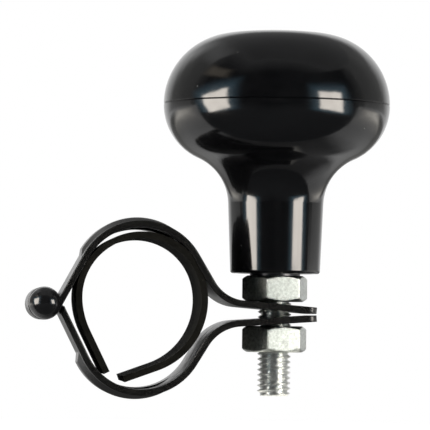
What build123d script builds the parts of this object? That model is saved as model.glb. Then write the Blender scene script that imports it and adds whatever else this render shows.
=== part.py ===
"""Spinner knob for a steering wheel: a grip turning on a spindle, held to the rim by a hinged clamp.

Millimetres. The origin is the centre of the rim that the clamp grips, +Y runs along the rim,
+Z points up to the grip and +X runs from the hinge towards the spindle.
"""

from build123d import *
from math import acos, asin, atan2, cos, degrees, radians, sin, sqrt, tan
import os

os.makedirs("parts", exist_ok=True)

# Rim and rubber liner
rim_radius = 13.9
liner_thickness = 1.5
liner_left_start_angle = 185.0
liner_left_end_angle = 206.1
liner_left_bend_radius = 18.4
liner_left_tail = 10.7
liner_right_start_angle = 375.0
liner_right_end_angle = 290.0
liner_right_bend_radius = 16.0
liner_right_tail = 8.2

# Clamp straps, pressed from sheet
strap_thickness = 1.5
strap_width = 27.0
liner_inset = 0.2
liner_press_gap = 0.02
arm_tip_radius = 2.0
arm_overhang = 8.8
bead_lean = 1.5
bead_width = 16.0
bead_flank = 2.6
bead_blend = 2.2
bead_end_ramp = 2.4

# Upper strap: the arc's place, the arm's slope and height, the bend between arc and arm
upper_arc_radius = 15.55
upper_arc_rise = 2.4
upper_arc_shift = -0.15
upper_bead_height = 1.1
upper_bead_peak_angle = 112.0
upper_bead_overrun = 0.5
upper_arm_slope = 4.8
upper_arm_height = -1.15
upper_knee_reach = 13.1
upper_knee_radius = 8.7

# Lower strap, measured downwards in the same way
lower_arc_radius = 15.15
lower_arc_drop = 7.8
lower_arc_shift = 0.0
lower_bead_height = 1.4
lower_bead_peak_angle = 135.0
lower_bead_overrun = 2.0
lower_arm_slope = 4.2
lower_arm_depth = 5.85
lower_knee_reach = 14.2
lower_knee_radius = 9.4

# Hinge
hinge_standoff = 7.3
hinge_drop = 1.6
hinge_pin_radius = 2.3
hinge_running_gap = 0.05
hinge_eye_wrap = 293.0
hinge_middle_eye = 13.4
hinge_side_gap = 0.3
hinge_ball_radius = 3.75
clamp_opening_angle = 10.0

# Spindle and nuts
stud_standoff = 17.1
thread_radius = 3.95
thread_chamfer = 0.8
thread_end_below_nut = 10.4
shank_radius = 3.98
hexagon_sides = 6
nut_across_flats = 14.0
nut_height = 6.2
nut_chamfer_angle = 30.0
nut_face_share = 0.94
nut_running_gap = 0.05
nut_seat_gap = 0.02
upper_nut_turn = 10.7
lower_nut_turn = 13.0
arm_hole_clearance = 0.35
bolt_head_across_flats = 13.0
bolt_head_height = 5.3
head_washer_radius = 8.0
head_washer_thickness = 1.6

# Grip: one turned outline, split at its widest place into a cap and a body
foot_gap = 0.5
foot_radius = 10.7
foot_edge_radius = 0.7
stem_taper = 2.3
parting_height = 40.2
head_radius = 27.0
crown_radius = 100.0
shoulder_radius = 17.0
bowl_radius = 14.0
neck_radius = 12.0
grip_wall = 2.4
parting_groove = 0.2
lip_height = 3.0
lip_thickness = 1.2
lip_clearance = 0.1
rib_count = 6
rib_thickness = 1.6

# Ball bearing between grip and spindle
bearing_bore_radius = 4.0
bearing_outer_radius = 11.0
bearing_width = 7.0
bearing_height = 26.6
ball_pitch_radius = 7.5
land_distance = 1.45
ball_radius = 1.85
ball_clearance = 0.12
ball_count = 7
cage_thickness = 1.3
cage_height = 5.2
seat_fit = 0.02
bearing_boss_wall = 2.4
bearing_edge_break = 0.3

# Sleeve between nut and bearing, and the bush that runs on it
sleeve_radius = 6.0
sleeve_running_gap = 0.05
bush_wall = 1.6
bush_length = 12.0
bush_flange_radius = 8.8
bush_flange_thickness = 1.0
stem_bore_radius = 7.3

# Places that follow from the sizes above
ring_radius = rim_radius + liner_thickness
stud_x = ring_radius + stud_standoff
hinge_x = -(ring_radius + hinge_standoff)
eye_radius = hinge_pin_radius + hinge_running_gap
eye_outer_radius = eye_radius + strap_thickness
nut_face_radius = nut_face_share * nut_across_flats / 2
upper_nut_base = upper_arm_height + nut_face_radius * tan(radians(upper_arm_slope)) + nut_seat_gap
upper_nut_top = upper_nut_base + nut_height
lower_nut_top = -(lower_arm_depth + nut_face_radius * tan(radians(lower_arm_slope)) + nut_seat_gap)
lower_nut_base = lower_nut_top - nut_height
thread_end = lower_nut_base - thread_end_below_nut
foot_z = upper_nut_top + foot_gap
parting_z = foot_z + parting_height
bearing_z = foot_z + bearing_height
bearing_top = bearing_z + bearing_width
ball_z = bearing_z + bearing_width / 2
washer_top = bearing_top + head_washer_thickness
land_radii = (ball_pitch_radius - land_distance, ball_pitch_radius + land_distance)
bush_bore = sleeve_radius + sleeve_running_gap
bush_radius = bush_bore + bush_wall
boss_radius = bearing_outer_radius + bearing_boss_wall
spindle_axis = Axis((stud_x, 0, 0), (0, 0, 1))
grip_plane = Plane((stud_x, 0, 0), x_dir=(1, 0, 0), z_dir=(0, -1, 0))


def at_angle(radius, angle):
    """Point on a circle about the sketch's centre"""
    return Vector(radius * cos(radians(angle)), radius * sin(radians(angle)))


def meeting_point(start, angle, other, other_angle):
    """Where two lines, each given by a point and an angle, cross"""
    along = Vector(cos(radians(angle)), sin(radians(angle)))
    across = Vector(-sin(radians(other_angle)), cos(radians(other_angle)))
    return start + along * ((other - start).dot(across) / along.dot(across))


class StrapLine:
    """Side outline of one strap, laid out as the upper strap stands"""

    def __init__(
        self, arc_radius, arc_centre, arm_slope, arm_height, knee_reach, knee_radius, hinge_height
    ):
        self.arc_radius = arc_radius
        self.arc_centre = Vector(*arc_centre)
        self.knee_radius = knee_radius
        self.arm_slope = arm_slope
        self.arm_height = arm_height
        self.hinge = Vector(hinge_x, hinge_height)
        to_arc = self.arc_centre - self.hinge
        rise = degrees(asin((arc_radius + eye_radius) / to_arc.length))
        self.leg_angle = degrees(atan2(to_arc.Y, to_arc.X)) + rise
        self.knee = self.arm_point(stud_x - knee_reach)
        self.tip = self.arm_point(stud_x + arm_overhang)
        back = self.arc_centre - self.knee
        lift = degrees(asin(arc_radius / back.length))
        self.shoulder_angle = degrees(atan2(back.Y, back.X)) - lift

    def arm_point(self, x):
        """Point on the arm's outer face"""
        return Vector(x, self.arm_height - (x - stud_x) * tan(radians(self.arm_slope)))

    def corners(self, depth):
        """Corners of the line that runs one depth inside the outer face, from arm tip to eye"""
        under_arm = at_angle(depth, -90 - self.arm_slope)
        under_shoulder = at_angle(depth, self.shoulder_angle + 90)
        leg_start = self.hinge + at_angle(eye_radius + depth, self.leg_angle - 90)
        shoulder = self.knee + under_shoulder
        knee = meeting_point(self.tip + under_arm, -self.arm_slope, shoulder, self.shoulder_angle)
        apex = meeting_point(leg_start, self.leg_angle, shoulder, self.shoulder_angle)
        return self.tip + under_arm, knee, apex, leg_start

    def draw(self):
        """Draw the sheet's edge: outer face, curled eye and the inner face one thickness away"""
        faces = []
        for depth in (0, strap_thickness):
            radii = [self.knee_radius + depth, self.arc_radius - depth]
            run = FilletPolyline(*self.corners(depth), radius=radii)
            eye = JernArc(run @ 1, run % 1, eye_radius + depth, -hinge_eye_wrap)
            faces.append((run @ 0, eye @ 1))
        Line(faces[0][0], faces[1][0])
        Line(faces[0][1], faces[1][1])


def press_tool(line, side, sunk, shorter):
    """Solid of a pressed bead over a strap's arc, sunk below its outer face and shorter at each end

    It runs on past the arc, by the overrun, onto the leg.
    Its crown runs round a centre that leans towards the bead's peak, so that it fades to the ends.
    """
    bead_height, peak_angle, overrun = line.bead
    radius = line.arc_radius - sunk
    crown_radius = radius + bead_height - bead_lean
    leaning = line.arc_centre + at_angle(bead_lean, peak_angle)
    arc_centre = Vector(line.arc_centre.X, 0, side * line.arc_centre.Y)
    crown_centre = Vector(leaning.X, 0, side * leaning.Y)
    first = line.leg_angle + 90 + degrees((overrun - shorter) / radius)
    last = line.shoulder_angle - 90 + degrees(shorter / radius)
    ramp = degrees(bead_end_ramp / radius)
    begin = radians(first + 2 * ramp)
    section = Plane(crown_centre, x_dir=(0, 1, 0), z_dir=(side * sin(begin), 0, -cos(begin)))
    profile = Plane(arc_centre, x_dir=(1, 0, 0), z_dir=(0, -side, 0))
    edge = bead_width / 2
    foot_edge = edge + bead_flank * strap_thickness / bead_height
    ends = []
    for angle, inward in ((first, -ramp), (last, ramp)):
        foot = at_angle(radius, angle)
        slope = at_angle(radius + bead_height, angle + inward) - foot
        ends.append((foot - slope, foot + slope * 2))
    middle = (first + last) / 2
    outside = [at_angle(radius * 2, middle + turn) for turn in (ramp, -ramp)]
    with BuildPart() as tool:
        with BuildSketch(section):
            with BuildLine():
                crown = FilletPolyline(
                    (-foot_edge, crown_radius - bead_height - strap_thickness),
                    (-edge + bead_flank, crown_radius),
                    (edge - bead_flank, crown_radius),
                    (foot_edge, crown_radius - bead_height - strap_thickness),
                    radius=bead_blend,
                )
                Line(crown @ 1, crown @ 0)
            make_face()
        revolve(axis=Axis(crown_centre, (0, side, 0)), revolution_arc=first - last + 4 * ramp)
        with BuildSketch(profile):
            with BuildLine():
                Polyline((0, 0), *ends[0], *outside, ends[1][1], ends[1][0], close=True)
            make_face()
            Circle(radius - strap_thickness / 2, mode=Mode.SUBTRACT)
        extrude(amount=strap_width, both=True, mode=Mode.INTERSECT)
    return tool.part


def press_bead(line, side):
    """Raise the bead on the outside of the strap in work and sink its channel into the inside"""
    add(press_tool(line, side, 0, 0))
    add(press_tool(line, side, strap_thickness, strap_thickness), mode=Mode.SUBTRACT)


def round_tip(strap):
    """Round the two corners of an arm's free end"""
    tip_face = strap.faces().sort_by(Axis.X)[-1]
    fillet(tip_face.edges().filter_by(Axis.Y, reverse=True), radius=arm_tip_radius)


def hex_nut(base_z, turn):
    """Hexagon nut round the spindle with a turned chamfer at both ends"""
    turned = (cos(radians(turn)), sin(radians(turn)), 0)
    half_height = nut_height / 2
    waist = nut_face_radius + half_height / tan(radians(nut_chamfer_angle))
    with BuildPart() as nut:
        with BuildSketch(Plane((stud_x, 0, base_z), x_dir=turned, z_dir=(0, 0, 1))):
            RegularPolygon(nut_across_flats / 2, hexagon_sides, major_radius=False)
            Circle(thread_radius + nut_running_gap, mode=Mode.SUBTRACT)
        extrude(amount=nut_height)
        with BuildSketch(grip_plane):
            with BuildLine():
                Polyline(
                    (0, base_z),
                    (nut_face_radius, base_z),
                    (waist, base_z + half_height),
                    (nut_face_radius, base_z + nut_height),
                    (0, base_z + nut_height),
                    close=True,
                )
            make_face()
        revolve(axis=spindle_axis, mode=Mode.INTERSECT)
    return nut.part


def neck_outline():
    """Centre of the neck's arc and the angle where it meets the bowl"""
    bowl = Vector(head_radius - bowl_radius, parting_z)
    along = Vector(sin(radians(stem_taper)), cos(radians(stem_taper)))
    outward = Vector(cos(radians(stem_taper)), -sin(radians(stem_taper)))
    start = Vector(foot_radius, foot_z) + outward * neck_radius
    reach = bowl_radius + neck_radius
    offset_to_bowl = start - bowl
    middle = offset_to_bowl.dot(along)
    step = -middle - sqrt(middle**2 - offset_to_bowl.length**2 + reach**2)
    centre = start + along * step
    to_bowl = bowl - centre
    bowl_angle = degrees(atan2(to_bowl.Y, to_bowl.X))
    return centre, bowl_angle


def body_line():
    """Half outline of the grip below the parting plane"""
    centre, bowl_angle = neck_outline()
    bowl = CenterArc((head_radius - bowl_radius, parting_z), bowl_radius, 0, bowl_angle - 180)
    neck = CenterArc(centre, neck_radius, bowl_angle, 180 - stem_taper - bowl_angle)
    Polyline(neck @ 1, (foot_radius, foot_z), (0, foot_z), (0, parting_z), bowl @ 0)


def cap_line(inset):
    """Half outline above the parting plane, one inset inside the outer skin; returns its top"""
    centre_x = head_radius - shoulder_radius
    spread = degrees(asin(centre_x / (crown_radius - shoulder_radius)))
    crown_z = parting_z - (crown_radius - shoulder_radius) * cos(radians(spread))
    shoulder = CenterArc((centre_x, parting_z), shoulder_radius - inset, 0, 90 - spread)
    crown = CenterArc((0, crown_z), crown_radius - inset, 90 - spread, spread)
    Polyline(crown @ 1, (0, parting_z), shoulder @ 0)
    return (crown @ 1).Y


def ring_profile(low_z, high_z, inner, outer):
    """Rectangle beside the spindle, for a turned ring"""
    with Locations(((inner + outer) / 2, (low_z + high_z) / 2)):
        Rectangle(outer - inner, high_z - low_z)


upper_line = StrapLine(
    upper_arc_radius,
    (upper_arc_shift, upper_arc_rise),
    upper_arm_slope,
    upper_arm_height,
    upper_knee_reach,
    upper_knee_radius,
    -hinge_drop,
)
lower_line = StrapLine(
    lower_arc_radius,
    (lower_arc_shift, lower_arc_drop),
    lower_arm_slope,
    lower_arm_depth,
    lower_knee_reach,
    lower_knee_radius,
    hinge_drop,
)
upper_line.bead = (upper_bead_height, upper_bead_peak_angle, upper_bead_overrun)
lower_line.bead = (lower_bead_height, lower_bead_peak_angle, lower_bead_overrun)
upper_side = Plane.XZ
lower_side = Plane((0, 0, 0), x_dir=(1, 0, 0), z_dir=(0, 1, 0))

# An eye's neighbour is cut back past the place where the two inner faces would meet
leg_spread = 180 - upper_line.leg_angle - lower_line.leg_angle
eye_relief_radius = eye_outer_radius / cos(radians(leg_spread / 2)) + hinge_side_gap
hinge_side_eye = (strap_width - hinge_middle_eye) / 2
hinge_plane = Plane((hinge_x, 0, -hinge_drop), x_dir=(1, 0, 0), z_dir=(0, -1, 0))

with BuildPart() as upper_strap:
    with BuildSketch(upper_side):
        with BuildLine():
            upper_line.draw()
        make_face()
    extrude(amount=strap_width / 2, both=True)
    press_bead(upper_line, 1)
    with BuildSketch(Plane.XY):
        with Locations((stud_x, 0)):
            Circle(shank_radius + arm_hole_clearance)
    extrude(amount=strap_width, both=True, mode=Mode.SUBTRACT)
    with BuildSketch(hinge_plane):
        Circle(eye_relief_radius)
    extrude(amount=hinge_middle_eye / 2 + hinge_side_gap, both=True, mode=Mode.SUBTRACT)
    round_tip(upper_strap)

# The lower arm swings about the hinge, so its hole is a slot that follows the spindle
stud_reach = stud_x - hinge_x
opening = radians(clamp_opening_angle)
slot_run = stud_reach * (1 / cos(opening) - 1) + (lower_arm_depth - hinge_drop) * tan(opening)
slot_run += strap_thickness * tan(opening)
slot_width = 2 * (shank_radius + arm_hole_clearance)

with BuildPart() as lower_strap:
    with BuildSketch(lower_side):
        with BuildLine():
            lower_line.draw()
        make_face()
    extrude(amount=strap_width / 2, both=True)
    press_bead(lower_line, -1)
    with BuildSketch(Plane.XY):
        with Locations((stud_x + slot_run / 2, 0)):
            SlotOverall(slot_width + slot_run, slot_width)
    extrude(amount=strap_width, both=True, mode=Mode.SUBTRACT)
    for side_plane in (Plane.XZ.offset(hinge_middle_eye / 2), Plane.XZ.offset(-strap_width / 2)):
        with BuildSketch(side_plane):
            with Locations((hinge_x, -hinge_drop)):
                Circle(eye_relief_radius)
        extrude(amount=hinge_side_eye, mode=Mode.SUBTRACT)
    round_tip(lower_strap)

with BuildPart() as hinge_pin:
    with BuildSketch(hinge_plane):
        Circle(hinge_pin_radius)
    extrude(amount=strap_width / 2 + hinge_ball_radius, both=True)
    ball_y = strap_width / 2 + hinge_running_gap + sqrt(hinge_ball_radius**2 - eye_radius**2)
    with Locations((hinge_x, ball_y, -hinge_drop), (hinge_x, -ball_y, -hinge_drop)):
        Sphere(hinge_ball_radius)

with BuildPart() as rim_liner:
    with BuildSketch(Plane.XZ):
        with BuildLine():
            left_run = liner_left_end_angle - liner_left_start_angle
            right_run = liner_right_end_angle - liner_right_start_angle
            left_centre = at_angle(rim_radius - liner_left_bend_radius, liner_left_start_angle)
            right_centre = at_angle(rim_radius - liner_right_bend_radius, liner_right_start_angle)
            ends = []
            for depth in (0, liner_thickness):
                CenterArc(
                    (0, 0),
                    rim_radius + depth,
                    liner_right_start_angle - 360,
                    360 + liner_left_start_angle - liner_right_start_angle,
                )
                left = CenterArc(
                    left_centre, liner_left_bend_radius + depth, liner_left_start_angle, left_run
                )
                right = CenterArc(
                    right_centre, liner_right_bend_radius + depth, liner_right_start_angle, right_run
                )
                left_tail = Line(left @ 1, left @ 1 + (left % 1) * liner_left_tail)
                right_tail = Line(right @ 1, right @ 1 + (right % 1) * liner_right_tail)
                ends.append((left_tail @ 1, right_tail @ 1))
            Line(ends[0][0], ends[1][0])
            Line(ends[0][1], ends[1][1])
        make_face()
        # The upper strap's straight runs press two flats into the rubber
        with BuildLine():
            knee, apex, leg_start = upper_line.corners(strap_thickness + liner_press_gap)[1:]
            above = apex.Y * 2
            Polyline((leg_start.X, above), leg_start, apex, knee, (knee.X, above), close=True)
        make_face(mode=Mode.SUBTRACT)
    extrude(amount=strap_width / 2 - liner_inset, both=True)

with BuildPart() as spindle:
    with BuildSketch(grip_plane):
        ring_profile(thread_end, upper_nut_top, 0, thread_radius)
        ring_profile(upper_nut_top, washer_top, 0, shank_radius)
    revolve(axis=spindle_axis)
    chamfer(spindle.edges().sort_by(Axis.Z)[0], length=thread_chamfer)
    with BuildSketch(Plane((stud_x, 0, washer_top))):
        RegularPolygon(bolt_head_across_flats / 2, hexagon_sides, major_radius=False)
    extrude(amount=bolt_head_height)

with BuildPart() as upper_nut:
    add(hex_nut(upper_nut_base, upper_nut_turn))

with BuildPart() as lower_nut:
    add(hex_nut(lower_nut_base, lower_nut_turn))

with BuildPart() as spacer_sleeve:
    with BuildSketch(grip_plane):
        ring_profile(upper_nut_top, bearing_z, shank_radius + nut_running_gap, sleeve_radius)
    revolve(axis=spindle_axis)

with BuildPart() as stem_bush:
    with BuildSketch(grip_plane):
        ring_profile(foot_z, foot_z + bush_length, bush_bore, bush_radius)
        ring_profile(foot_z, foot_z + bush_flange_thickness, bush_bore, bush_flange_radius)
    revolve(axis=spindle_axis)

# Grip body: turned outside, hollow bowl, boss for the bearing, bores for bearing and bush
bowl_centre = Vector(head_radius - bowl_radius, parting_z)
hollow_radius = bowl_radius - grip_wall
hollow_end = degrees(acos((boss_radius - bowl_centre.X) / hollow_radius))
wall_middle = bowl_radius - grip_wall / 2
boss_middle = boss_radius - bearing_boss_wall / 2
rib_start = degrees(asin((parting_z - bearing_top) / wall_middle))
rib_end = degrees(acos((boss_middle - bowl_centre.X) / wall_middle))
rib_planes = [grip_plane.rotated((0, 0, turn * 360 / rib_count)) for turn in range(rib_count)]

with BuildPart() as knob_body:
    with BuildSketch(grip_plane):
        with BuildLine():
            body_line()
        make_face()
    revolve(axis=spindle_axis)
    outer_edges = knob_body.edges().filter_by(GeomType.CIRCLE).sort_by(Axis.Z)
    fillet(outer_edges[0], radius=foot_edge_radius)
    chamfer(outer_edges[-1], length=parting_groove)
    with BuildSketch(grip_plane):
        with BuildLine():
            hollow = CenterArc(bowl_centre, hollow_radius, 0, -hollow_end)
            Polyline(
                hollow @ 1,
                (boss_radius, bearing_top),
                (0, bearing_top),
                (0, parting_z),
                hollow @ 0,
            )
        make_face()
        ring_profile(bearing_z, bearing_top, 0, bearing_outer_radius + seat_fit)
        ring_profile(foot_z, bearing_z, 0, stem_bore_radius)
        ring_profile(foot_z, foot_z + bush_length, 0, bush_radius + seat_fit)
        ring_profile(foot_z, foot_z + bush_flange_thickness, 0, bush_flange_radius + seat_fit)
    revolve(axis=spindle_axis, mode=Mode.SUBTRACT)
    with BuildSketch(*rib_planes):
        with BuildLine():
            root = CenterArc(bowl_centre, wall_middle, -rib_start, rib_start - rib_end)
            Polyline(root @ 1, (boss_middle, bearing_top), root @ 0)
        make_face()
    extrude(amount=rib_thickness / 2, both=True)

# Grip cap: hollow crown, lip inside the body's wall and a tube that holds the bearing down
lip_radius = bowl_centre.X + sqrt(hollow_radius**2 - lip_height**2) - lip_clearance
lip_bore = lip_radius - lip_thickness
lip_reach = lip_bore - (head_radius - shoulder_radius)
lip_root = parting_z + sqrt((shoulder_radius - grip_wall) ** 2 - lip_reach**2) + grip_wall / 2

with BuildPart() as knob_cap:
    with BuildSketch(grip_plane):
        with BuildLine():
            cap_line(0)
        make_face()
    revolve(axis=spindle_axis)
    chamfer(knob_cap.edges().filter_by(GeomType.CIRCLE).sort_by(Axis.Z)[0], length=parting_groove)
    with BuildSketch(grip_plane):
        with BuildLine():
            inner_crown = cap_line(grip_wall)
        make_face()
    revolve(axis=spindle_axis, mode=Mode.SUBTRACT)
    with BuildSketch(grip_plane):
        ring_profile(parting_z - lip_height, lip_root, lip_bore, lip_radius)
        ring_profile(bearing_top, inner_crown, land_radii[1], bearing_outer_radius)
    revolve(axis=spindle_axis)

with BuildPart() as bearing_inner_ring:
    with BuildSketch(grip_plane) as ring_section:
        ring_profile(bearing_z, bearing_top, bearing_bore_radius, land_radii[0])
        chamfer(ring_section.vertices().group_by(Axis.X)[0], length=bearing_edge_break)
        with Locations((ball_pitch_radius, ball_z)):
            Circle(ball_radius + ball_clearance, mode=Mode.SUBTRACT)
    revolve(axis=spindle_axis)

with BuildPart() as bearing_outer_ring:
    with BuildSketch(grip_plane) as ring_section:
        ring_profile(bearing_z, bearing_top, land_radii[1], bearing_outer_radius)
        chamfer(ring_section.vertices().group_by(Axis.X)[-1], length=bearing_edge_break)
        with Locations((ball_pitch_radius, ball_z)):
            Circle(ball_radius + ball_clearance, mode=Mode.SUBTRACT)
    revolve(axis=spindle_axis)

ball_places = []
pocket_planes = []
for number in range(ball_count):
    outward = at_angle(1, number * 360 / ball_count)
    place = outward * ball_pitch_radius
    ball_places.append((stud_x + place.X, place.Y, ball_z))
    pocket_planes.append(Plane((stud_x, 0, ball_z), z_dir=outward))

with BuildPart() as bearing_cage:
    with BuildSketch(grip_plane):
        with Locations((ball_pitch_radius, ball_z)):
            Rectangle(cage_thickness, cage_height)
    revolve(axis=spindle_axis)
    with BuildSketch(*pocket_planes):
        Circle(ball_radius + ball_clearance)
    extrude(amount=boss_radius, mode=Mode.SUBTRACT)

with BuildPart() as head_washer:
    with BuildSketch(grip_plane):
        ring_profile(bearing_top, washer_top, shank_radius + seat_fit, head_washer_radius)
    revolve(axis=spindle_axis)

finished = {
    "upper_strap": upper_strap,
    "lower_strap": lower_strap,
    "hinge_pin": hinge_pin,
    "rim_liner": rim_liner,
    "spindle": spindle,
    "upper_nut": upper_nut,
    "lower_nut": lower_nut,
    "spacer_sleeve": spacer_sleeve,
    "stem_bush": stem_bush,
    "knob_body": knob_body,
    "knob_cap": knob_cap,
    "bearing_inner_ring": bearing_inner_ring,
    "bearing_outer_ring": bearing_outer_ring,
    "bearing_cage": bearing_cage,
    "head_washer": head_washer,
}
for label, builder in finished.items():
    builder.part.label = label
    export_step(builder.part, f"parts/{label}.step")

for number, place in enumerate(ball_places, start=1):
    with BuildPart() as bearing_ball:
        with Locations(place):
            Sphere(ball_radius)
    bearing_ball.part.label = f"bearing_ball_{number}"
    export_step(bearing_ball.part, f"parts/bearing_ball_{number}.step")
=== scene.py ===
"""Finishes, screw thread and studio stage for a steering wheel spinner knob."""

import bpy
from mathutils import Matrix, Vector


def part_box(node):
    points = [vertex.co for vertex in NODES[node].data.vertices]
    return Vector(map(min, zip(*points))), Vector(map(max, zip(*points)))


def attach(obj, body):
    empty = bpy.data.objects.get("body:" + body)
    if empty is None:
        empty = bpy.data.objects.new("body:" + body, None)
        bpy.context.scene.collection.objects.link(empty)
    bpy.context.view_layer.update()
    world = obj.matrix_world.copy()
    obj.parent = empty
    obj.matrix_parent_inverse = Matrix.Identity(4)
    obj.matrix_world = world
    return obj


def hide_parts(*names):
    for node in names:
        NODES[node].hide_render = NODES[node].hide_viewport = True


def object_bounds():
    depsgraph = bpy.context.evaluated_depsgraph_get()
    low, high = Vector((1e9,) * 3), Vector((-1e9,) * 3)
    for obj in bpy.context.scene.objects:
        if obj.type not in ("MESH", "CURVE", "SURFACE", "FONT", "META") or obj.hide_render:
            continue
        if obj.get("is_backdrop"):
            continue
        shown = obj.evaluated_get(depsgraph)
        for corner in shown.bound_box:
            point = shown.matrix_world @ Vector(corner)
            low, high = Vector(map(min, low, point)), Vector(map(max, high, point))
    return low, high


bl_info = {
    "name": "Steering wheel spinner knob",
    "version": (1, 0, 0),
    "blender": (4, 5, 0),
    "location": "3D View > Sidebar > Spinner Knob",
    "description": "Dresses the knob, its clamp and its spindle and sets a plain studio round them",
    "category": "Object",
}

import math

import bmesh
import bpy
from bpy.props import FloatProperty, FloatVectorProperty, IntProperty, PointerProperty
from mathutils import Quaternion, Vector

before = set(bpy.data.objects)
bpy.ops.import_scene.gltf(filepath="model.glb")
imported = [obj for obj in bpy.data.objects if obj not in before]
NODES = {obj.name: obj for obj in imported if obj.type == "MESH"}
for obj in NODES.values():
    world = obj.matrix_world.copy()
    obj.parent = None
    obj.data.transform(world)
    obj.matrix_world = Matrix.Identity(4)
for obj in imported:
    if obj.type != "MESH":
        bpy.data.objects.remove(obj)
CAD_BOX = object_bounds()

SPINDLE_LOW, SPINDLE_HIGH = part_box("spindle")
SPINDLE_X = (SPINDLE_LOW.x + SPINDLE_HIGH.x) / 2
THREAD_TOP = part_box("upper_nut")[1].z
WASHER_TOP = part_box("head_washer")[1].z
LOWEST = CAD_BOX[0].z

SAME_POINT = 1e-6
THIN_FACE = 1e-7
ROOT_SHARE = 0.25
CREST_SHARE = 0.125
SHANK_CORNERS = 64
HEAD_CORNERS = 6
SHARP_EDGE = math.radians(35)

FLOOR_HALF = 6.0
FLOOR_GRAIN = 0.98
CLIP_NEAR, CLIP_FAR = 0.01, 50.0
# Each lamp's name, turn from the camera and rise in degrees, distance, size and power setting
LAMPS = (
    ("lamp_left", (-65, 5), 0.62, (0.37, 0.45), "lamp_power"),
    ("lamp_right", (58, 5), 0.62, (0.33, 0.4), "lamp_power"),
    ("lamp_top", (0, 90), 1.0, (1.0, 1.0), "top_power"),
)

# Painted dark reflection: the two tones of the black card that only the gloss shows
PAINTED_DARK_LOW = (0.01, 0.012, 0.014)
PAINTED_DARK_HIGH = (0.1, 0.105, 0.11)
# Painted highlights: tint of the glowing cards' core, then their halo look and their distance from
# the aim
PAINTED_HIGHLIGHT_TINT = (1.0, 0.93, 0.85)
PAINTED_HIGHLIGHT_LOOK = ((0.6, 1.05, 1.35), 0.25, 0.26)
PAINTED_HIGHLIGHT_REACH = 0.3
# Painted highlights: glowing cards that only the gloss shows, in place of the softboxes'
# reflections. Turn from the camera and rise of each corner, in degrees
PAINTED_HIGHLIGHTS = {
    "card_left": ((-80, -28), (-33, -17), (-31, 42), (-96, 18)),
    "card_right": ((31, -17), (86, -22), (74, 28), (30, 30)),
}
# Painted dark reflection: the black hood round the front, seen only in the gloss: its distance,
# half turn and span of rises
PAINTED_HOOD_REACH, PAINTED_HOOD_TURN, PAINTED_HOOD_RISES = 1.5, 98, (-2, 90)
# Painted reflection of a dim ceiling, seen only in the gloss: its rise over the aim, and how far
# ahead and aside each corner lies
PAINTED_CEILING_RISE = 1.0
PAINTED_CEILING = ((1.0, -0.9), (1.0, 1.7), (-1.9, 1.7), (-1.9, -0.9))
# Painted reflections of dim and warm walls, seen only in the gloss. Each wall's glow, distance,
# span of turns and span of rises
PAINTED_WALLS = {
    "side_left": ("side_wall", 1.45, (-150, -80), (-14, 60)),
    "side_right": ("side_wall", 1.45, (80, 150), (-14, 60)),
    "warm_wall": ("warm_wall", 1.3, (-100, -52), (31, 47)),
}
# Painted reflections, shade and glint lying on the floor, seen only in the gloss. Height over the
# floor, and how far ahead and aside of the spindle each corner lies
PAINTED_DARK_FLOOR = (0.001, ((0.024, -1.4), (0.024, 1.4), (1.4, 1.4), (1.4, -1.4)))
PAINTED_FLOOR_CARDS = {
    # Painted shadow: a dim glowing card under the object that only the gloss shows
    "shade": ("shade", 0.0007, ((-0.09, -0.09), (-0.09, 0.09), (0.06, 0.09), (0.06, -0.09))),
    # Painted reflection of a dim floor behind the object, seen only in the gloss
    "dim_floor": ("dim_floor", 0.0004, ((0.02, -0.9), (0.02, 0.9), (-0.7, 0.9), (-0.7, -0.9))),
    # Painted glint: a bright glowing card under the thread that only the gloss shows
    "under_thread": (
        "under_thread", 0.002, ((-0.03, -0.016), (-0.03, 0.02), (0.01, 0.02), (0.01, -0.016))
    ),
    # Painted reflections of bright floor at both sides, seen only in the gloss
    "bright_left": (
        "bright_floor", 0.002, ((0.04, -0.13), (0.04, -0.8), (-0.65, -0.8), (-0.2, -0.13))
    ),
    "bright_right": (
        "bright_floor", 0.002, ((0.04, 0.13), (0.04, 0.8), (-0.65, 0.8), (-0.2, 0.13))
    ),
}
# Painted reflections, shade and glint: colours of core and halo, then widths of halo and fade as
# shares of the card
PAINTED_GLOWS = {
    "ceiling": ((0.3, 0.3, 0.3), (0.3, 0.3, 0.3), 0.2, 0.2),
    "side_wall": ((0.4, 0.4, 0.39), (0.4, 0.4, 0.39), 0.1, 0.25),
    "warm_wall": ((1.0, 0.88, 0.72), (0.6, 0.52, 0.42), 0.1, 0.3),
    "shade": ((0.22, 0.22, 0.22), (0.3, 0.3, 0.3), 0.2, 0.2),
    "dim_floor": ((0.3, 0.3, 0.29), (0.3, 0.3, 0.29), 0.1, 0.3),
    "under_thread": ((1.7, 1.65, 1.5), (1.3, 1.25, 1.15), 0.15, 0.2),
    "bright_floor": ((3.4, 3.25, 3.0), (2.4, 2.3, 2.15), 0.15, 0.35),
}


def colour_property(name, description, default):
    """Colour that a user can change in the panel"""
    return FloatVectorProperty(
        name=name, description=description, subtype="COLOR", size=3, min=0, max=1, default=default
    )


def length_property(name, description, default):
    """Length in metres that a user can change in the panel"""
    return FloatProperty(
        name=name, description=description, default=default, min=0, precision=5, unit="LENGTH"
    )


def share_property(name, description, default):
    """Share from none to all that a user can change in the panel"""
    return FloatProperty(
        name=name, description=description, default=default, min=0, max=1, subtype="FACTOR"
    )


def amount_property(name, description, default):
    """Plain amount that a user can change in the panel"""
    return FloatProperty(name=name, description=description, default=default, min=0)


def angle_property(name, description, degrees):
    """Angle that a user can change in the panel"""
    return FloatProperty(
        name=name, description=description, default=math.radians(degrees), subtype="ANGLE"
    )


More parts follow.
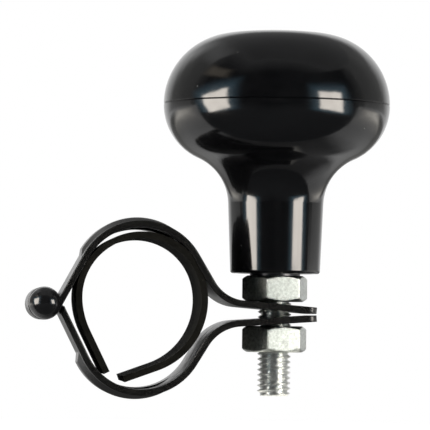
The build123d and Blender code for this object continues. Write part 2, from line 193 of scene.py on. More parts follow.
class GripFinish(bpy.types.PropertyGroup):
    """Polished black plastic of the grip"""

    colour: colour_property("Plastic", "Colour of the moulded plastic", (0.0035, 0.0036, 0.004))
    sheen_low: share_property("Smoothest", "Roughness where the polish is best", 0.09)
    sheen_high: share_property("Roughest", "Roughness where the polish is dull", 0.15)
    flow_size: length_property("Flow size", "Size of the moulding's soft waves", 0.02)
    flow_depth: length_property("Flow depth", "Height of the moulding's soft waves", 0.00005)
    dust: share_property("Dust", "Share of dust specks that show", 0.35)
    dust_size: length_property("Dust spacing", "Distance between dust specks", 0.0035)
    dust_spot: share_property("Dust size", "Size of a speck as a share of the spacing", 0.045)
    dust_colour: colour_property("Dust colour", "Colour of the dust specks", (0.4, 0.4, 0.38))
    dust_dullness: share_property("Dust dullness", "How much rougher a speck is", 0.5)


class PaintFinish(bpy.types.PropertyGroup):
    """Black paint of the clamp straps and the hinge pin"""

    colour: colour_property("Paint", "Colour of the paint", (0.0052, 0.0048, 0.0041))
    worn_colour: colour_property("Worn edge", "Colour of a rubbed edge", (0.02, 0.02, 0.019))
    sheen_low: share_property("Smoothest", "Roughness where the paint is glossy", 0.24)
    sheen_high: share_property("Roughest", "Roughness where the paint is dull", 0.38)
    peel_size: length_property("Peel size", "Size of the paint's fine ripple", 0.0009)
    peel_depth: length_property("Peel depth", "Height of the paint's fine ripple", 0.000006)
    edge_radius: length_property("Edge", "Radius of the sheet's broken edges", 0.00065)
    wear: share_property("Wear", "How much of the worn colour an edge shows", 0.6)
    pin_dark: colour_property("Pin, dark", "Darker colour of the pin", (0.006, 0.006, 0.0063))
    pin_pale: colour_property("Pin, pale", "Paler colour of the pin", (0.01, 0.01, 0.0103))
    pin_low: share_property("Pin, smoothest", "Roughness where the pin is glossy", 0.12)
    pin_high: share_property("Pin, roughest", "Roughness where the pin is dull", 0.2)


class RubberFinish(bpy.types.PropertyGroup):
    """Rubber liner between clamp and rim"""

    colour: colour_property("Rubber", "Colour of the rubber", (0.0068, 0.0064, 0.0052))
    bloom_colour: colour_property("Bloom", "Colour of the pale bloom", (0.014, 0.0134, 0.011))
    speck_colour: colour_property("Specks", "Colour of the dust specks", (0.06, 0.055, 0.045))
    shine: share_property("Shine", "How much the rubber mirrors", 0.02)
    sheen_low: share_property("Smoothest", "Roughness where the rubber is bare", 0.75)
    sheen_high: share_property("Roughest", "Roughness where the bloom lies", 0.95)
    grain_size: length_property("Grain size", "Size of the rubber's grain", 0.0004)
    grain_depth: length_property("Grain depth", "Height of the rubber's grain", 0.00002)


class PlatingFinish(bpy.types.PropertyGroup):
    """Bright plating of nuts, washer and spindle"""

    # Nuts and thread share one plating; the thread's copy is painted much lighter to stand in for
    # the light it catches
    colour: colour_property("Plating", "Colour of the nuts' plating", (0.57, 0.6, 0.565))
    thread_lit_colour: colour_property("Thread", "Colour of the thread's plating", (0.97, 0.99, 0.96))
    dullness: share_property("Blotches", "How much darker the dull blotches are", 0.45)
    sheen_low: share_property("Smoothest", "Roughness where the plating is bright", 0.29)
    sheen_high: share_property("Roughest", "Roughness where the plating is dull", 0.4)
    thread_polish: share_property("Thread polish", "How much smoother the thread is", 0.06)
    thread_fineness: amount_property("Thread blotches", "How much finer they are there", 1.6)
    blotch_size: length_property("Blotch size", "Size of the dull blotches", 0.0007)
    blotch_depth: length_property("Blotch depth", "Height of the faces' unevenness", 0.000007)
    edge_radius: length_property("Edge", "Radius of the nuts' edges", 0.0005)
    edge_colour: colour_property("Edge colour", "Colour of the bright edges", (0.95, 0.95, 0.92))


class ThreadSize(bpy.types.PropertyGroup):
    """Screw thread and shank of the spindle"""

    pitch: length_property("Pitch", "Distance from one crest to the next", 0.00125)
    crest_radius: length_property("Crest", "Radius over the crests", 0.00395)
    depth: length_property("Depth", "Height of a crest over the root", 0.0007)
    end_radius: length_property("End", "Radius of the flat end", 0.0032)
    shank_radius: length_property("Shank", "Radius of the plain shank", 0.00398)
    head_flats: length_property("Head", "Distance across the head's flats", 0.013)
    columns: IntProperty(name="Columns", description="Points round the thread", default=72, min=12)


class InnerFinish(bpy.types.PropertyGroup):
    """Sleeve, bush and ball bearing inside the grip"""

    sleeve: colour_property("Sleeve", "Colour of the turned sleeve", (0.09, 0.09, 0.095))
    bush: colour_property("Bush", "Colour of the bush", (0.02, 0.02, 0.02))
    steel: colour_property("Bearing steel", "Colour of rings and balls", (0.6, 0.6, 0.62))
    brass: colour_property("Cage", "Colour of the bearing's cage", (0.55, 0.4, 0.17))
    turning: length_property("Turning", "Distance between turning lines", 0.0002)
    turning_depth: length_property("Turning depth", "Height of the turning lines", 0.000004)
    dark_share: share_property("Dark blotches", "Their colour as a share of the full one", 0.7)
    dullness: share_property("Dull blotches", "How much rougher the dark blotches are", 0.1)


class StudioSetup(bpy.types.PropertyGroup):
    """Floor, lamps, cards of painted reflection and camera"""

    floor_colour: colour_property("Floor", "Colour of the floor", (0.5, 0.5, 0.5))
    floor_glow: amount_property("Floor glow", "Lift of the floor to white", 0.65)
    shadow_reach: length_property("Shadow reach", "Where the floor turns to plain white", 0.11)
    floor_gap: length_property("Floor gap", "Room under the object for the opened clamp", 0.0085)
    lamp_power: amount_property("Lamp power", "Power of each side lamp in watts", 2.2)
    top_power: amount_property("Top lamp power", "Power of the overhead lamp in watts", 8)
    sky_level: amount_property("Sky level", "Strength of the soft light all round", 0.4)
    # Strength of the painted highlights, glowing cards that stand in for the softboxes in the gloss
    painted_highlight_glow: amount_property("Card glow", "Strength of the two softboxes in the gloss", 18)
    azimuth: angle_property("Azimuth", "Camera's turn round the object", -5)
    elevation: angle_property("Elevation", "Camera's height angle", -1.9)
    roll: angle_property("Roll", "Camera's tilt about its line of sight", 0.67)
    distance: length_property("Distance", "Distance from camera to object", 0.74)
    lens: FloatProperty(
        name="Lens", description="Focal length in millimetres", default=260.3, min=1
    )
    aim: FloatVectorProperty(
        name="Aim", description="Point at the picture's centre", default=(0.018, 0, 0.0199),
        subtype="TRANSLATION", unit="LENGTH",
    )


class Shading:
    """Places shader nodes in a tree and joins them"""

    def __init__(self, tree):
        self.tree = tree

    def node(self, kind, inputs=None, **settings):
        """New node with its settings, and with values or links in its named inputs"""
        made = self.tree.nodes.new(kind)
        for name, value in settings.items():
            setattr(made, name, value)
        for name, value in (inputs or {}).items():
            if isinstance(value, bpy.types.NodeSocket):
                self.tree.links.new(value, made.inputs[name])
            else:
                made.inputs[name].default_value = value
        return made

    def math(self, operation, *values):
        """Result of a math node"""
        made = self.node("ShaderNodeMath", dict(enumerate(values)), operation=operation)
        return made.outputs[0]

    def place(self):
        """Place on the object, in metres"""
        return self.node("ShaderNodeTexCoord").outputs["Object"]

    def noise(self, place, scale, detail):
        """Noise value over the surface"""
        made = self.node("ShaderNodeTexNoise", {"Vector": place, "Scale": scale, "Detail": detail})
        return made.outputs["Fac"]

    def blend(self, share, first, second):
        """Colour between two colours"""
        made = self.node("ShaderNodeMix", {0: share, 6: first, 7: second}, data_type="RGBA")
        return made.outputs[2]

    def between(self, value, low, high, from_low=0.0, from_high=1.0):
        """Value moved from one span to another and kept inside it"""
        made = self.node("ShaderNodeMapRange", {
            "Value": value,
            "From Min": from_low,
            "From Max": from_high,
            "To Min": low,
            "To Max": high,
        })
        return made.outputs["Result"]


def effect(name, inputs, outputs):
    """New shader node group, its inner nodes and its two ends"""
    tree = bpy.data.node_groups.new(name, "ShaderNodeTree")
    for label, kind, default in inputs:
        socket = tree.interface.new_socket(label, in_out="INPUT", socket_type=kind)
        if default is not None:
            socket.default_value = default
    for label, kind in outputs:
        tree.interface.new_socket(label, in_out="OUTPUT", socket_type=kind)
    shading = Shading(tree)
    return shading, shading.node("NodeGroupInput"), shading.node("NodeGroupOutput")


def make_blotches():
    """Two sizes of noise mixed into uneven blotches from 0 to 1, and a finer height"""
    shading, start, end = effect(
        "Blotches",
        [("Scale", "NodeSocketFloat", 500.0), ("Contrast", "NodeSocketFloat", 0.5)],
        [("Mask", "NodeSocketFloat"), ("Height", "NodeSocketFloat")],
    )
    finer, wide_share, narrowing = 3.1, 0.6, 0.2
    widest_low, widest_high = 0.25, 0.75
    place = shading.place()
    fine = shading.math("MULTIPLY", start.outputs["Scale"], finer)
    wide = shading.noise(place, start.outputs["Scale"], 3.0)
    narrow = shading.noise(place, fine, 4.0)
    wide_part = shading.math("MULTIPLY", wide, wide_share)
    height = shading.math("MULTIPLY_ADD", narrow, 1 - wide_share, wide_part)
    contrast = start.outputs["Contrast"]
    low = shading.math("MULTIPLY_ADD", contrast, narrowing, widest_low)
    high = shading.math("MULTIPLY_ADD", contrast, -narrowing, widest_high)
    mask = shading.between(height, 0.0, 1.0, low, high)
    shading.tree.links.new(mask, end.inputs["Mask"])
    shading.tree.links.new(height, end.inputs["Height"])


def make_specks():
    """Few small specks of dust, on a share of the cells of a loose net"""
    shading, start, end = effect(
        "Dust specks",
        [
            ("Scale", "NodeSocketFloat", 300.0),
            ("Share", "NodeSocketFloat", 0.3),
            ("Size", "NodeSocketFloat", 0.05),
        ],
        [("Mask", "NodeSocketFloat")],
    )
    cells = shading.node(
        "ShaderNodeTexVoronoi", {"Vector": shading.place(), "Scale": start.outputs["Scale"]}
    )
    full_share = 0.4
    chosen = shading.math("LESS_THAN", cells.outputs["Color"], start.outputs["Share"])
    full = shading.math("MULTIPLY", start.outputs["Size"], full_share)
    spot = shading.between(cells.outputs["Distance"], 1.0, 0.0, full, start.outputs["Size"])
    shading.tree.links.new(shading.math("MULTIPLY", chosen, spot), end.inputs["Mask"])


def make_edges():
    """Rounded normal at sharp edges, and a mask of the edges broken up by noise"""
    shading, start, end = effect(
        "Broken edges",
        [("Radius", "NodeSocketFloat", 0.0003), ("Scale", "NodeSocketFloat", 900.0)],
        [("Normal", "NodeSocketVector"), ("Mask", "NodeSocketFloat")],
    )
    rounded = shading.node("ShaderNodeBevel", {"Radius": start.outputs["Radius"]}, samples=6)
    flat = shading.node("ShaderNodeNewGeometry").outputs["Normal"]
    alike = shading.node(
        "ShaderNodeVectorMath", {0: rounded.outputs["Normal"], 1: flat}, operation="DOT_PRODUCT"
    )
    rounded_most, rounded_least = 0.8, 0.99
    bare_below, rubbed_above = 0.4, 0.65
    turned = shading.between(alike.outputs["Value"], 1.0, 0.0, rounded_most, rounded_least)
    uneven = shading.noise(shading.place(), start.outputs["Scale"], 3.0)
    rubbed = shading.between(uneven, 0.0, 1.0, bare_below, rubbed_above)
    shading.tree.links.new(rounded.outputs["Normal"], end.inputs["Normal"])
    shading.tree.links.new(shading.math("MULTIPLY", turned, rubbed), end.inputs["Mask"])


def make_turning():
    """Fine rings round the spindle, as a lathe leaves them"""
    shading, start, end = effect(
        "Turning lines",
        [("Scale", "NodeSocketFloat", 5000.0)],
        [("Height", "NodeSocketFloat")],
    )
    flattened = shading.node(
        "ShaderNodeMapping", {"Vector": shading.place(), "Scale": (0.02, 0.02, 1.0)}
    )
    lines = shading.noise(flattened.outputs["Vector"], start.outputs["Scale"], 2.0)
    shading.tree.links.new(lines, end.inputs["Height"])


class Material:
    """One finish: a Principled BSDF and the effects that feed it"""

    def __init__(self, name, **fixed):
        self.material = bpy.data.materials.new(name)
        self.material.use_nodes = True
        self.shading = Shading(self.material.node_tree)
        self.surface = self.material.node_tree.nodes["Principled BSDF"]
        for label, value in fixed.items():
            self.surface.inputs[label.replace("_", " ")].default_value = value

    def effect(self, name, **inputs):
        """One of the shared effects with this material's own values"""
        made = self.shading.node("ShaderNodeGroup", node_tree=bpy.data.node_groups[name])
        for label, value in inputs.items():
            made.inputs[label].default_value = value
        return made.outputs

    def feed(self, label, source):
        """Join a source to a socket of the surface"""
        self.shading.tree.links.new(source, self.surface.inputs[label])

    def raise_by(self, height, depth, normal=None):
        """Normal of a bump that is one depth high"""
        inputs = {"Height": height, "Distance": depth, "Strength": 1.0}
        if normal is not None:
            inputs["Normal"] = normal
        self.feed("Normal", self.shading.node("ShaderNodeBump", inputs).outputs["Normal"])

    def dress(self, *pieces):
        """Put the finish on pieces in place of what they have"""
        for piece in pieces:
            piece.data.materials.clear()
            piece.data.materials.append(self.material)


def solid(colour):
    """Colour with full alpha"""
    return (*colour, 1.0)


class SPINNER_OT_effects(bpy.types.Operator):
    """Build the node groups that several finishes share"""

    bl_idname = "spinner.effects"
    bl_label = "Shared effects"

    def execute(self, context):
        make_blotches()
        make_specks()
        make_edges()
        make_turning()
        return {"FINISHED"}


class SPINNER_OT_grip(bpy.types.Operator):
    """Finish the grip's cap and body in polished black plastic"""

    bl_idname = "spinner.grip"
    bl_label = "Grip"

    def execute(self, context):
        look = context.scene.spinner_grip
        plastic = Material("grip_plastic", IOR=1.5)
        specks = plastic.effect(
            "Dust specks", Scale=1 / look.dust_size, Share=look.dust, Size=look.dust_spot
        )["Mask"]
        polish = plastic.effect("Blotches", Scale=120.0, Contrast=0.3)
        dusty = plastic.shading.blend(specks, solid(look.colour), solid(look.dust_colour))
        roughness = plastic.shading.between(polish["Mask"], look.sheen_low, look.sheen_high)
        roughness = plastic.shading.math("MULTIPLY_ADD", specks, look.dust_dullness, roughness)
        waves = plastic.shading.noise(plastic.shading.place(), 1 / look.flow_size, 0.0)
        plastic.feed("Base Color", dusty)
        plastic.feed("Roughness", roughness)
        plastic.raise_by(waves, look.flow_depth)
        plastic.dress(NODES["knob_cap"], NODES["knob_body"])
        return {"FINISHED"}


class SPINNER_OT_clamp(bpy.types.Operator):
    """Finish the two straps and the hinge pin in black paint"""

    bl_idname = "spinner.clamp"
    bl_label = "Clamp straps and hinge pin"

    def execute(self, context):
        look = context.scene.spinner_paint
        paint = Material("strap_paint", IOR=1.5)
        edges = paint.effect("Broken edges", Radius=look.edge_radius)
        blotches = paint.effect("Blotches", Scale=220.0, Contrast=0.4)
        peel = paint.shading.noise(paint.shading.place(), 1 / look.peel_size, 1.0)
        worn = paint.shading.math("MULTIPLY", edges["Mask"], look.wear)
        tint = paint.shading.blend(worn, solid(look.colour), solid(look.worn_colour))
        roughness = paint.shading.between(blotches["Mask"], look.sheen_low, look.sheen_high)
        paint.feed("Base Color", tint)
        paint.feed("Roughness", roughness)
        paint.raise_by(peel, look.peel_depth, edges["Normal"])
        paint.dress(NODES["upper_strap"], NODES["lower_strap"])

        enamel = Material("pin_paint", IOR=1.5)
        blotches = enamel.effect("Blotches", Scale=300.0, Contrast=0.3)
        peel = enamel.shading.noise(enamel.shading.place(), 1 / look.peel_size, 1.0)
        mask = blotches["Mask"]
        tint = enamel.shading.blend(mask, solid(look.pin_dark), solid(look.pin_pale))
        enamel.feed("Base Color", tint)
        enamel.feed("Roughness", enamel.shading.between(mask, look.pin_low, look.pin_high))
        enamel.raise_by(peel, look.peel_depth / 2)
        enamel.dress(NODES["hinge_pin"])
        return {"FINISHED"}


class SPINNER_OT_liner(bpy.types.Operator):
    """Finish the liner in dull rubber"""

    bl_idname = "spinner.liner"
    bl_label = "Rubber liner"

    def execute(self, context):
        look = context.scene.spinner_rubber
        rubber = Material("liner_rubber", IOR=1.45, Specular_IOR_Level=look.shine)
        bloom = rubber.effect("Blotches", Scale=260.0, Contrast=0.5)
        specks = rubber.effect("Dust specks", Scale=500.0, Share=0.3, Size=0.08)["Mask"]
        grain = rubber.shading.noise(rubber.shading.place(), 1 / look.grain_size, 3.0)
        tint = rubber.shading.blend(bloom["Mask"], solid(look.colour), solid(look.bloom_colour))
        tint = rubber.shading.blend(specks, tint, solid(look.speck_colour))
        roughness = rubber.shading.between(bloom["Mask"], look.sheen_low, look.sheen_high)
        rubber.feed("Base Color", tint)
        rubber.feed("Roughness", roughness)
        rubber.raise_by(grain, look.grain_depth)
        rubber.dress(NODES["rim_liner"])
        return {"FINISHED"}


def plating(name, look, colour, scale, polish=0.0):
    """Bright plating with dull blotches over uneven faces"""
    smooth, rough = look.sheen_low * (1 - polish), look.sheen_high * (1 - polish)
    dull = solid([channel * (1 - look.dullness) for channel in colour])
    made = Material(name, Metallic=1.0)
    edges = made.effect("Broken edges", Radius=look.edge_radius)
    blotches = made.effect("Blotches", Scale=scale / look.blotch_size, Contrast=0.6)
    tint = made.shading.blend(blotches["Mask"], dull, solid(colour))
    bright = made.shading.blend(edges["Mask"], tint, solid(look.edge_colour))
    made.feed("Base Color", bright)
    made.feed("Roughness", made.shading.between(blotches["Mask"], rough, smooth))
    made.raise_by(blotches["Height"], look.blotch_depth, edges["Normal"])
    return made


class SPINNER_OT_nuts(bpy.types.Operator):
    """Finish the nuts and the washer in bright plating"""

    bl_idname = "spinner.nuts"
    bl_label = "Nuts and washer"

    def execute(self, context):
        look = context.scene.spinner_plating
        made = plating("nut_plating", look, look.colour, 1.0)
        made.dress(NODES["upper_nut"], NODES["lower_nut"], NODES["head_washer"])
        return {"FINISHED"}


def ring_point(mesh, radius, step, steps, z):
    """Point round the spindle, some steps of a full turn on"""
    angle = 2 * math.pi * step / steps
    place = (SPINDLE_X + radius * math.cos(angle), radius * math.sin(angle), z)
    return mesh.verts.new(place)


def thread_surface(mesh, size):
    """Rows of points that follow the helix, flattened at the chamfered end and at the shank"""
    root, crest = size.crest_radius - size.depth, size.crest_radius
    profile = (
        (0.0, root),
        (ROOT_SHARE / 2, root),
        (0.5 - CREST_SHARE / 2, crest),
        (0.5 + CREST_SHARE / 2, crest),
        (1 - ROOT_SHARE / 2, root),
    )
    turns = math.ceil((THREAD_TOP - SPINDLE_LOW.z) / size.pitch) + 2
    rows = []
    for turn in range(turns):
        for along, radius in profile:
            row = []
            for column in range(size.columns):
                z = SPINDLE_LOW.z + size.pitch * (turn - 1 + along + column / size.columns)
                reach = min(radius, size.end_radius + max(z - SPINDLE_LOW.z, 0))
                if z > THREAD_TOP:
                    reach = crest
                z = min(max(z, SPINDLE_LOW.z), THREAD_TOP)
                row.append(ring_point(mesh, reach, column, size.columns, z))
            rows.append(row)
    for number, row in enumerate(rows[:-1]):
        for column in range(size.columns):
            after = (column + 1) % size.columns
            beside = number if after else number + len(profile)
            if beside + 1 >= len(rows):
                continue
            mesh.faces.new((
                row[column], rows[beside][after], rows[beside + 1][after], rows[number + 1][column]
            ))
    bmesh.ops.remove_doubles(mesh, verts=mesh.verts, dist=SAME_POINT)
    bmesh.ops.dissolve_degenerate(mesh, edges=mesh.edges, dist=THIN_FACE)


def turned_length(mesh, low, high, radius, corners):
    """Plain length of shank or hexagon head"""
    lower, upper = [
        [ring_point(mesh, radius, corner, corners, z) for corner in range(corners)]
        for z in (low, high)
    ]
    for corner in range(corners):
        after = (corner + 1) % corners
        mesh.faces.new((lower[corner], lower[after], upper[after], upper[corner]))
    mesh.faces.new(reversed(lower))
    mesh.faces.new(upper)


class SPINNER_OT_spindle(bpy.types.Operator):
    """Build the spindle with its screw thread and finish it in plating"""

    bl_idname = "spinner.spindle"
    bl_label = "Threaded spindle"

    def execute(self, context):
        size = context.scene.spinner_thread
        mesh = bmesh.new()
        thread_surface(mesh, size)
        ends = [edge for edge in mesh.edges if edge.is_boundary]
        bmesh.ops.holes_fill(mesh, edges=ends, sides=0)
        turned_length(mesh, THREAD_TOP, WASHER_TOP, size.shank_radius, SHANK_CORNERS)
        corner_radius = size.head_flats / 2 / math.cos(math.pi / HEAD_CORNERS)
        turned_length(mesh, WASHER_TOP, SPINDLE_HIGH.z, corner_radius, HEAD_CORNERS)
        bmesh.ops.recalc_face_normals(mesh, faces=mesh.faces)
        data = bpy.data.meshes.new("threaded_spindle")
        mesh.to_mesh(data)
        mesh.free()
        data.set_sharp_from_angle(angle=SHARP_EDGE)
        spindle = bpy.data.objects.new("threaded_spindle", data)
        context.scene.collection.objects.link(spindle)
        look = context.scene.spinner_plating
        made = plating(
            "thread_plating", look, look.thread_lit_colour, look.thread_fineness, look.thread_polish
        )
        made.dress(spindle)
        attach(spindle, "clamp")
        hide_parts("spindle")
        return {"FINISHED"}


class SPINNER_OT_inside(bpy.types.Operator):
    """Finish the sleeve, the bush and the ball bearing"""

    bl_idname = "spinner.inside"
    bl_label = "Sleeve, bush and bearing"

    def execute(self, context):
        look = context.scene.spinner_inside
        ground = ["bearing_inner_ring", "bearing_outer_ring"]
        ground += [name for name in NODES if name.startswith("bearing_ball")]
        pieces = {
            "turned_steel": (look.sleeve, 1.0, 0.3, ["spacer_sleeve"]),
            "bush_plastic": (look.bush, 0.0, 0.5, ["stem_bush"]),
            "cage_brass": (look.brass, 1.0, 0.28, ["bearing_cage"]),
            "bearing_steel": (look.steel, 1.0, 0.16, ground),
        }
        for name, (colour, metallic, roughness, nodes) in pieces.items():
            made = Material(name, Metallic=metallic)
            blotches = made.effect("Blotches", Scale=400.0, Contrast=0.4)
            lines = made.effect("Turning lines", Scale=1 / look.turning)["Height"]
            dark = solid([channel * look.dark_share for channel in colour])
            dull = roughness + look.dullness
            made.feed("Base Color", made.shading.blend(blotches["Mask"], dark, solid(colour)))
            made.feed("Roughness", made.shading.between(blotches["Mask"], dull, roughness))
            made.raise_by(lines, look.turning_depth)
            made.dress(*[NODES[node] for node in nodes])
        return {"FINISHED"}


def stage_mesh(name, points, faces):
    """Stage piece from points and faces"""
    data = bpy.data.meshes.new(name)
    data.from_pydata(points, [], faces)
    piece = bpy.data.objects.new(name, data)
    bpy.context.scene.collection.objects.link(piece)
    piece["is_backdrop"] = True
    return piece


def gloss_only(piece):
    """Let only reflections see a stage piece"""
    for rays in ("camera", "diffuse", "transmission", "volume_scatter", "shadow"):
        setattr(piece, "visible_" + rays, False)


def seen_rays(shading):
    """1 for rays that look at the background: camera, glossy and transmission rays"""
    path = shading.node("ShaderNodeLightPath").outputs
    glossy = shading.math("MAXIMUM", path["Is Camera Ray"], path["Is Glossy Ray"])
    return shading.math("MAXIMUM", glossy, path["Is Transmission Ray"])


def direction(azimuth, elevation):
    """Unit vector from the object, azimuth 0 towards -Y, in degrees"""
    turn, rise = math.radians(azimuth), math.radians(elevation)
    return Vector(
        (math.sin(turn) * math.cos(rise), -math.cos(turn) * math.cos(rise), math.sin(rise))
    )


def set_floor(studio):
    """Pale floor that keeps the object's shadow"""
    level = LOWEST - studio.floor_gap
    signs = ((-1, -1), (1, -1), (1, 1), (-1, 1))
    corners = [(FLOOR_HALF * across, FLOOR_HALF * along, level) for across, along in signs]
    floor = stage_mesh("floor", corners, [(0, 1, 2, 3)])
    material = bpy.data.materials.new("floor")
    material.use_nodes = True
    shading = Shading(material.node_tree)
    surface = material.node_tree.nodes["Principled BSDF"]
    surface.inputs["Roughness"].default_value = 1.0
    surface.inputs["Specular IOR Level"].default_value = 0.0
    grain = shading.noise(shading.place(), 40.0, 3.0)
    low = [channel * FLOOR_GRAIN for channel in studio.floor_colour]
    tint = shading.blend(grain, solid(low), solid(studio.floor_colour))
    shading.tree.links.new(tint, surface.inputs["Base Color"])
    surface.inputs["Emission Color"].default_value = (1, 1, 1, 1)
    seen = seen_rays(shading)
    glow = shading.math("MULTIPLY", seen, studio.floor_glow)
    shading.tree.links.new(glow, surface.inputs["Emission Strength"])
    away = shading.node(
        "ShaderNodeVectorMath",
        {0: shading.place(), 1: (studio.aim[0], 0.0, level)},
        operation="DISTANCE",
    )
    reach = studio.shadow_reach
    far = shading.between(away.outputs["Value"], 0.0, 1.0, reach / 2, reach)
    white = shading.node("ShaderNodeEmission").outputs["Emission"]
    plain = shading.math("MULTIPLY", far, seen)
    lit = shading.node("ShaderNodeMixShader", {0: plain, 1: surface.outputs["BSDF"], 2: white})
    under = shading.node("ShaderNodeNewGeometry").outputs["Backfacing"]
    clear = shading.node("ShaderNodeBsdfTransparent").outputs["BSDF"]
    mixed = shading.node("ShaderNodeMixShader", {0: under, 1: lit.outputs["Shader"], 2: clear})
    output = material.node_tree.nodes["Material Output"]
    shading.tree.links.new(mixed.outputs["Shader"], output.inputs["Surface"])
    floor.data.materials.append(material)


def set_sky(studio):
    """White background for what looks at it, and soft light for the rest"""
    world = bpy.data.worlds.new("studio")
    bpy.context.scene.world = world
    world.use_nodes = True
    shading = Shading(world.node_tree)
    background = world.node_tree.nodes["Background"]
    background.inputs["Color"].default_value = (1, 1, 1, 1)
    strength = shading.between(seen_rays(shading), studio.sky_level, 1.0)
    shading.tree.links.new(strength, background.inputs["Strength"])


def set_lamp(name, place, target, size, power):
    """Soft area lamp that isn't seen in reflections"""
    lamp = bpy.data.lights.new(name, "AREA")
    lamp.shape = "RECTANGLE"
    lamp.size, lamp.size_y = size
    lamp.energy = power
    holder = bpy.data.objects.new(name, lamp)
    holder.location = place
    holder.rotation_mode = "QUATERNION"
    holder.rotation_quaternion = (target - place).to_track_quat("-Z", "Y")
    holder.visible_camera = False
    holder.visible_glossy = False
    bpy.context.scene.collection.objects.link(holder)


def set_card(name, place, material, columns=16, rows=16):
    """Card that only the gloss shows, laid out by a function of its width and height shares"""
    points = []
    for row in range(rows + 1):
        for column in range(columns + 1):
            points.append(place(column / columns, row / rows))
    faces = []
    for row in range(rows):
        for column in range(columns):
            first = row * (columns + 1) + column
            faces.append((first, first + 1, first + columns + 2, first + columns + 1))
    card = stage_mesh(name, points, faces)
    shares = card.data.uv_layers.new(name="card")
    for loop in card.data.loops:
        row, column = divmod(loop.vertex_index, columns + 1)
        shares.data[loop.index].uv = (column / columns, row / rows)
    card.data.materials.append(material)
    gloss_only(card)


def between_corners(corners):
    """Function that lays a card between four corners"""

    def place(across, up):
        low = corners[0].lerp(corners[1], across)
        high = corners[3].lerp(corners[2], across)
        return low.lerp(high, up)

    return place


def round_sky(centre, radius, azimuths, elevations):
    """Function that lays a card on a piece of a ball round the object"""

    def place(across, up):
        azimuth = azimuths[0] + (azimuths[1] - azimuths[0]) * across
        elevation = elevations[0] + (elevations[1] - elevations[0]) * up
        return centre + direction(azimuth, elevation) * radius

    return place


def black_card():
    """Painted dark reflection: black card, uneven like folded cloth, that gives back little light
    """
    material = bpy.data.materials.new("black_card")
    material.use_nodes = True
    shading = Shading(material.node_tree)
    surface = material.node_tree.nodes["Principled BSDF"]
    unevenness = shading.between(shading.noise(shading.place(), 2.2, 3.0), 0.0, 1.0, 0.35, 0.65)
    dark_tint = shading.blend(unevenness, solid(PAINTED_DARK_LOW), solid(PAINTED_DARK_HIGH))
    shading.tree.links.new(dark_tint, surface.inputs["Base Color"])
    surface.inputs["Roughness"].default_value = 1.0
    surface.inputs["Specular IOR Level"].default_value = 0.0
    return material


def glowing_card(name, core, halo, halo_width, fade):
    """Painted glow for reflections: uneven glow from a core colour to a halo colour and then to
    nothing at the card's edge
    """
    wander, heart_edge, patch_share, cover_power = 0.05, 0.04, 0.65, 1.3
    material = bpy.data.materials.new(name)
    material.use_nodes = True
    material.node_tree.nodes.clear()
    shading = Shading(material.node_tree)
    shares = shading.node("ShaderNodeTexCoord").outputs["UV"]
    split = shading.node("ShaderNodeSeparateXYZ", {"Vector": shares})
    sides = []
    for axis in ("X", "Y"):
        far = shading.math("SUBTRACT", 1.0, split.outputs[axis])
        sides.append(shading.math("MINIMUM", split.outputs[axis], far))
    wave = shading.noise(shares, 9.0, 2.0)
    uneven = shading.math("MULTIPLY_ADD", wave, wander, -wander / 2)
    inward = shading.math("ADD", shading.math("MINIMUM", *sides), uneven)
    heart = shading.between(inward, 0.0, 1.0, halo_width, halo_width + heart_edge)
    low = solid([channel * patch_share for channel in core])
    patchy = shading.blend(shading.noise(shares, 5.0, 3.0), low, solid(core))
    tint = shading.blend(heart, solid(halo), patchy)
    emission = shading.node("ShaderNodeEmission", {"Color": tint})
    clear = shading.node("ShaderNodeBsdfTransparent")
    cover = shading.math("POWER", shading.between(inward, 0.0, 1.0, 0.0, fade), cover_power)
    mixed = shading.node(
        "ShaderNodeMixShader", {0: cover, 1: clear.outputs["BSDF"], 2: emission.outputs["Emission"]}
    )
    output = shading.node("ShaderNodeOutputMaterial")
    shading.tree.links.new(mixed.outputs["Shader"], output.inputs["Surface"])
    return material


def set_cards(studio, aim, facing):
    """Painted reflections that only the gloss shows: highlights of two softboxes, a dark hood and
    dark floor in front, painted shade and a dim floor under and behind the object, a glint under
    the thread, bright floor at the sides, and a dim ceiling and walls
    """
    front, across = direction(facing, 0), direction(facing + 90, 0)

    def flat(middle, rise, places):
        """Level card whose corners lie ahead and aside of a point"""
        middle = middle + Vector((0, 0, rise))
        return between_corners([middle + front * ahead + across * aside for ahead, aside in places])

    # Painted highlights: two glowing cards that only the gloss shows
    core = [studio.painted_highlight_glow * channel for channel in PAINTED_HIGHLIGHT_TINT]
    softbox = glowing_card("softbox", core, *PAINTED_HIGHLIGHT_LOOK)
    for name, turns in PAINTED_HIGHLIGHTS.items():
        corners = [aim + direction(facing + turn, rise) * PAINTED_HIGHLIGHT_REACH for turn, rise in turns]
        set_card(name, between_corners(corners), softbox)
    # Painted dark reflections: a black hood round the front and a dark floor in front, seen only in
    # the gloss
    black = black_card()
    painted_hood_turns = (facing - PAINTED_HOOD_TURN, facing + PAINTED_HOOD_TURN)
    set_card("hood", round_sky(aim, PAINTED_HOOD_REACH, painted_hood_turns, PAINTED_HOOD_RISES), black, 48, 24)
    foot = Vector((SPINDLE_X, 0, LOWEST - studio.floor_gap))
    # Painted dark reflection of the floor in front, where the camera sees the white floor
    set_card("dark_floor", flat(foot, *PAINTED_DARK_FLOOR), black)
    # Glowing cards of painted reflection, shade and glint, seen only in the gloss
    painted_glows = {name: glowing_card(name, *look) for name, look in PAINTED_GLOWS.items()}
    set_card("ceiling", flat(aim, PAINTED_CEILING_RISE, PAINTED_CEILING), painted_glows["ceiling"])
    for name, (glow, reach, turns, rises) in PAINTED_WALLS.items():
        azimuths = [facing + turn for turn in turns]
        set_card(name, round_sky(aim, reach, azimuths, rises), painted_glows[glow])
    for name, (glow, rise, places) in PAINTED_FLOOR_CARDS.items():
        set_card(name, flat(foot, rise, places), painted_glows[glow])


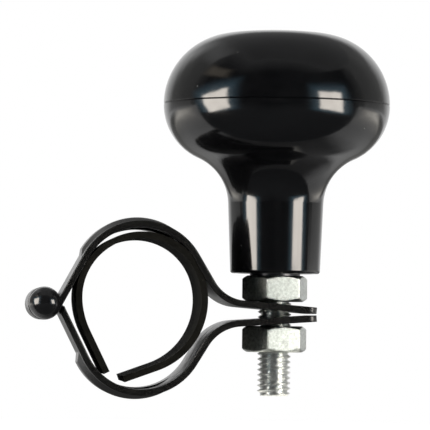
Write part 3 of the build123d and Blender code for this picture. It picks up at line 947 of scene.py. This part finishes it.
def set_camera(studio):
    """Camera at the photograph's angle"""
    azimuth, elevation = math.degrees(studio.azimuth), math.degrees(studio.elevation)
    back = direction(azimuth, elevation)
    camera = bpy.data.cameras.new("camera")
    camera.lens = studio.lens
    camera.clip_start = CLIP_NEAR
    camera.clip_end = CLIP_FAR
    holder = bpy.data.objects.new("camera", camera)
    holder.location = Vector(studio.aim) + back * studio.distance
    holder.rotation_mode = "QUATERNION"
    level = (-back).to_track_quat("-Z", "Y")
    holder.rotation_quaternion = level @ Quaternion((0, 0, 1), studio.roll)
    bpy.context.scene.collection.objects.link(holder)
    bpy.context.scene.camera = holder


class SPINNER_OT_stage(bpy.types.Operator):
    """Set the floor, the lamps, the painted reflections that only the gloss shows and the camera"""

    bl_idname = "spinner.stage"
    bl_label = "Studio"

    def execute(self, context):
        studio = context.scene.spinner_studio
        aim = Vector(studio.aim)
        facing = math.degrees(studio.azimuth)
        set_floor(studio)
        set_sky(studio)
        for name, (turn, rise), away, size, power in LAMPS:
            place = aim + direction(facing + turn, rise) * away
            set_lamp(name, place, aim, size, getattr(studio, power))
        set_cards(studio, aim, facing)
        set_camera(studio)
        context.scene.view_settings.view_transform = "Standard"
        return {"FINISHED"}


class SPINNER_PT_panel(bpy.types.Panel):
    """Steps and settings of the spinner knob"""

    bl_idname = "SPINNER_PT_panel"
    bl_label = "Spinner Knob"
    bl_space_type = "VIEW_3D"
    bl_region_type = "UI"
    bl_category = "Spinner Knob"

    def draw(self, context):
        for step in STEPS:
            self.layout.operator(step.bl_idname)
        for name in SETTINGS:
            settings = getattr(context.scene, name)
            box = self.layout.box()
            box.label(text=settings.bl_rna.description)
            for label in settings.__annotations__:
                box.prop(settings, label)


SETTINGS = {
    "spinner_grip": GripFinish,
    "spinner_paint": PaintFinish,
    "spinner_rubber": RubberFinish,
    "spinner_plating": PlatingFinish,
    "spinner_thread": ThreadSize,
    "spinner_inside": InnerFinish,
    "spinner_studio": StudioSetup,
}
STEPS = (
    SPINNER_OT_effects,
    SPINNER_OT_grip,
    SPINNER_OT_clamp,
    SPINNER_OT_liner,
    SPINNER_OT_nuts,
    SPINNER_OT_spindle,
    SPINNER_OT_inside,
    SPINNER_OT_stage,
)


def register():
    """Make the settings, steps and panel known"""
    for name, group in SETTINGS.items():
        bpy.utils.register_class(group)
        setattr(bpy.types.Scene, name, PointerProperty(type=group))
    for step in STEPS:
        bpy.utils.register_class(step)
    bpy.utils.register_class(SPINNER_PT_panel)


def unregister():
    """Take the panel, steps and settings away again"""
    bpy.utils.unregister_class(SPINNER_PT_panel)
    for step in reversed(STEPS):
        bpy.utils.unregister_class(step)
    for name, group in SETTINGS.items():
        delattr(bpy.types.Scene, name)
        bpy.utils.unregister_class(group)


def main():
    """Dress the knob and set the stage"""
    register()
    bpy.ops.spinner.effects()
    bpy.ops.spinner.grip()
    bpy.ops.spinner.clamp()
    bpy.ops.spinner.liner()
    bpy.ops.spinner.nuts()
    bpy.ops.spinner.spindle()
    bpy.ops.spinner.inside()
    bpy.ops.spinner.stage()
    boxes = {"cad": CAD_BOX, "visual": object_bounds()}
    {name: [list(corner) for corner in box] for name, box in boxes.items()}


if __name__ == "__main__":
    main()
